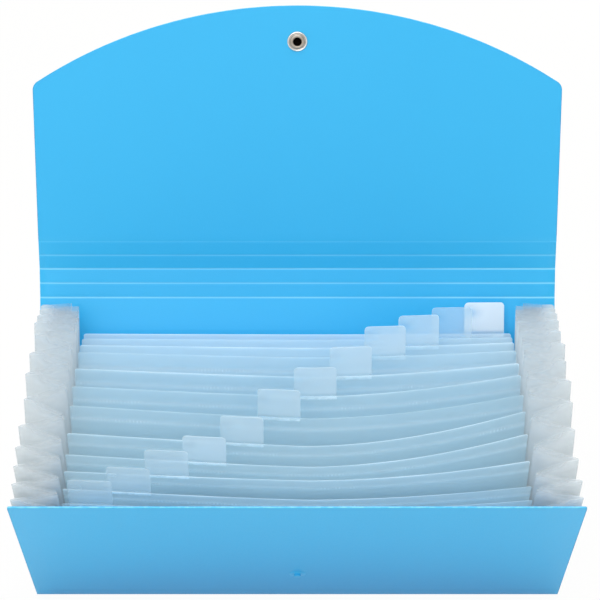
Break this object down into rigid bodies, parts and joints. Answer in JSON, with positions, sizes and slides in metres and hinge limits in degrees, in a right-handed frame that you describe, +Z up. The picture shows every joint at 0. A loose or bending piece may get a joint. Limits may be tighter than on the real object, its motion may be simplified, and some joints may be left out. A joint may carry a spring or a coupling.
{
  "type": "accordion file folder",
  "caption": "Expanding file folder with a scored plastic cover, pleated clear side gussets, film dividers with stepped index tabs, and an arched flap that snaps shut.",
  "frame": {"origin": "on the floor, under the middle of the base that the folder stands on", "axes": "+Z up, +X to the right across the folder, -Y to the front, where the pockets open towards the viewer"},
  "size_m": [0.26, 0.1721, 0.2833],
  "materials": {
    "cover_sheet": "translucent sky-blue polypropylene sheet with a fine matt grain",
    "divider_film": "frosted clear polypropylene film",
    "gusset_film": "frosted clear polypropylene film, pleated",
    "tab_film": "clear film sleeve, folded flat and welded at its foot",
    "snap_metal": "nickel-plated pressed metal",
    "stud_plastic": "low moulded stud in the cover's colour"
  },
  "bodies": {
    "base": {"base_spine": "cover_sheet", "floor_film": "divider_film"},
    "front_cover": {"front_panel": "cover_sheet", "front_gusset": "gusset_film", "snap_stud": "stud_plastic", "stud_rivet": "stud_plastic"},
    "back_cover": {"back_panel": "cover_sheet", "back_gusset": "gusset_film"},
    "leaf_01": {"divider_01": "divider_film", "tab_01": "tab_film", "gusset_01": "gusset_film"},
    "leaf_02": {"divider_02": "divider_film", "tab_02": "tab_film", "gusset_02": "gusset_film"},
    "leaf_03": {"divider_03": "divider_film", "tab_03": "tab_film", "gusset_03": "gusset_film"},
    "leaf_04": {"divider_04": "divider_film", "tab_04": "tab_film", "gusset_04": "gusset_film"},
    "leaf_05": {"divider_05": "divider_film", "tab_05": "tab_film", "gusset_05": "gusset_film"},
    "leaf_06": {"divider_06": "divider_film", "tab_06": "tab_film", "gusset_06": "gusset_film"},
    "leaf_07": {"divider_07": "divider_film", "tab_07": "tab_film", "gusset_07": "gusset_film"},
    "leaf_08": {"divider_08": "divider_film", "tab_08": "tab_film", "gusset_08": "gusset_film"},
    "leaf_09": {"divider_09": "divider_film", "tab_09": "tab_film", "gusset_09": "gusset_film"},
    "leaf_10": {"divider_10": "divider_film", "tab_10": "tab_film", "gusset_10": "gusset_film"},
    "leaf_11": {"divider_11": "divider_film", "tab_11": "tab_film", "gusset_11": "gusset_film"},
    "leaf_12": {"divider_12": "divider_film", "tab_12": "tab_film", "gusset_12": "gusset_film"},
    "strip_1": {"flap_strip_1": "cover_sheet"},
    "strip_2": {"flap_strip_2": "cover_sheet"},
    "strip_3": {"flap_strip_3": "cover_sheet"},
    "strip_4": {"flap_strip_4": "cover_sheet"},
    "flap_cover": {"flap": "cover_sheet", "snap_socket": "snap_metal", "snap_cap": "snap_metal"}
  },
  "joints": [
    {"name": "fan_close", "type": "hinge", "parent": "base", "child": "front_cover", "pos_m": [0, -0.013, 0.00045], "axis": [-1, 0, 0], "range_deg": [0, 46], "deforming": ["front_gusset", "gusset_01", "gusset_02", "gusset_03", "gusset_04", "gusset_05", "gusset_06", "gusset_07", "gusset_08", "gusset_09", "gusset_10", "gusset_11", "gusset_12", "back_gusset"]},
    {"name": "back_close", "type": "hinge", "parent": "base", "child": "back_cover", "pos_m": [0, 0.013, 0.00045], "axis": [1, 0, 0], "range_deg": [0, 16.7]},
    {"name": "leaf_01_close", "type": "hinge", "parent": "base", "child": "leaf_01", "pos_m": [0, -0.011, 0.002], "axis": [1, 0, 0], "range_deg": [-43.3, 0]},
    {"name": "leaf_02_close", "type": "hinge", "parent": "base", "child": "leaf_02", "pos_m": [0, -0.009, 0.002], "axis": [1, 0, 0], "range_deg": [-40.61, 0]},
    {"name": "leaf_03_close", "type": "hinge", "parent": "base", "child": "leaf_03", "pos_m": [0, -0.007, 0.002], "axis": [1, 0, 0], "range_deg": [-37.91, 0]},
    {"name": "leaf_04_close", "type": "hinge", "parent": "base", "child": "leaf_04", "pos_m": [0, -0.005, 0.002], "axis": [1, 0, 0], "range_deg": [-34.59, 0]},
    {"name": "leaf_05_close", "type": "hinge", "parent": "base", "child": "leaf_05", "pos_m": [0, -0.003, 0.002], "axis": [1, 0, 0], "range_deg": [-30.07, 0]},
    {"name": "leaf_06_close", "type": "hinge", "parent": "base", "child": "leaf_06", "pos_m": [0, -0.001, 0.002], "axis": [1, 0, 0], "range_deg": [-24.37, 0]},
    {"name": "leaf_07_close", "type": "hinge", "parent": "base", "child": "leaf_07", "pos_m": [0, 0.001, 0.002], "axis": [1, 0, 0], "range_deg": [-17.97, 0]},
    {"name": "leaf_08_close", "type": "hinge", "parent": "base", "child": "leaf_08", "pos_m": [0, 0.003, 0.002], "axis": [1, 0, 0], "range_deg": [-11.2, 0]},
    {"name": "leaf_09_close", "type": "hinge", "parent": "base", "child": "leaf_09", "pos_m": [0, 0.005, 0.002], "axis": [1, 0, 0], "range_deg": [-4.3, 0]},
    {"name": "leaf_10_close", "type": "hinge", "parent": "base", "child": "leaf_10", "pos_m": [0, 0.007, 0.002], "axis": [1, 0, 0], "range_deg": [0, 2.28]},
    {"name": "leaf_11_close", "type": "hinge", "parent": "base", "child": "leaf_11", "pos_m": [0, 0.009, 0.002], "axis": [1, 0, 0], "range_deg": [0, 7.92]},
    {"name": "leaf_12_close", "type": "hinge", "parent": "base", "child": "leaf_12", "pos_m": [0, 0.011, 0.002], "axis": [1, 0, 0], "range_deg": [0, 12.62]},
    {"name": "crease_1", "type": "hinge", "parent": "back_cover", "child": "strip_1", "pos_m": [0, 0.05294, 0.13359], "axis": [1, 0, 0], "range_deg": [0, 70.3]},
    {"name": "crease_2", "type": "hinge", "parent": "strip_1", "child": "strip_2", "pos_m": [0, 0.05436, 0.14085], "axis": [1, 0, 0], "range_deg": [0, 7]},
    {"name": "crease_3", "type": "hinge", "parent": "strip_2", "child": "strip_3", "pos_m": [0, 0.05564, 0.14814], "axis": [1, 0, 0], "range_deg": [0, 2]},
    {"name": "crease_4", "type": "hinge", "parent": "strip_3", "child": "strip_4", "pos_m": [0, 0.05538, 0.15553], "axis": [1, 0, 0], "range_deg": [0, 8]},
    {"name": "flap_swing", "type": "hinge", "parent": "strip_4", "child": "flap_cover", "pos_m": [0, 0.05512, 0.16293], "axis": [1, 0, 0], "range_deg": [-45, 77.6]}
  ],
  "couplings": [
    {"joint": "back_close", "follows": "fan_close", "ratio": 0.36304},
    {"joint": "leaf_01_close", "follows": "fan_close", "ratio": -0.94139},
    {"joint": "leaf_02_close", "follows": "fan_close", "ratio": -0.88278},
    {"joint": "leaf_03_close", "follows": "fan_close", "ratio": -0.82417},
    {"joint": "leaf_04_close", "follows": "fan_close", "ratio": -0.75193},
    {"joint": "leaf_05_close", "follows": "fan_close", "ratio": -0.65379},
    {"joint": "leaf_06_close", "follows": "fan_close", "ratio": -0.52975},
    {"joint": "leaf_07_close", "follows": "fan_close", "ratio": -0.39072},
    {"joint": "leaf_08_close", "follows": "fan_close", "ratio": -0.24351},
    {"joint": "leaf_09_close", "follows": "fan_close", "ratio": -0.093576},
    {"joint": "leaf_10_close", "follows": "fan_close", "ratio": 0.049543},
    {"joint": "leaf_11_close", "follows": "fan_close", "ratio": 0.17222},
    {"joint": "leaf_12_close", "follows": "fan_close", "ratio": 0.27444},
    {"joint": "crease_1", "follows": "fan_close", "ratio": 1.5283},
    {"joint": "crease_2", "follows": "fan_close", "ratio": 0.15217},
    {"joint": "crease_3", "follows": "fan_close", "ratio": 0.043478},
    {"joint": "crease_4", "follows": "fan_close", "ratio": 0.17391}
  ]
}
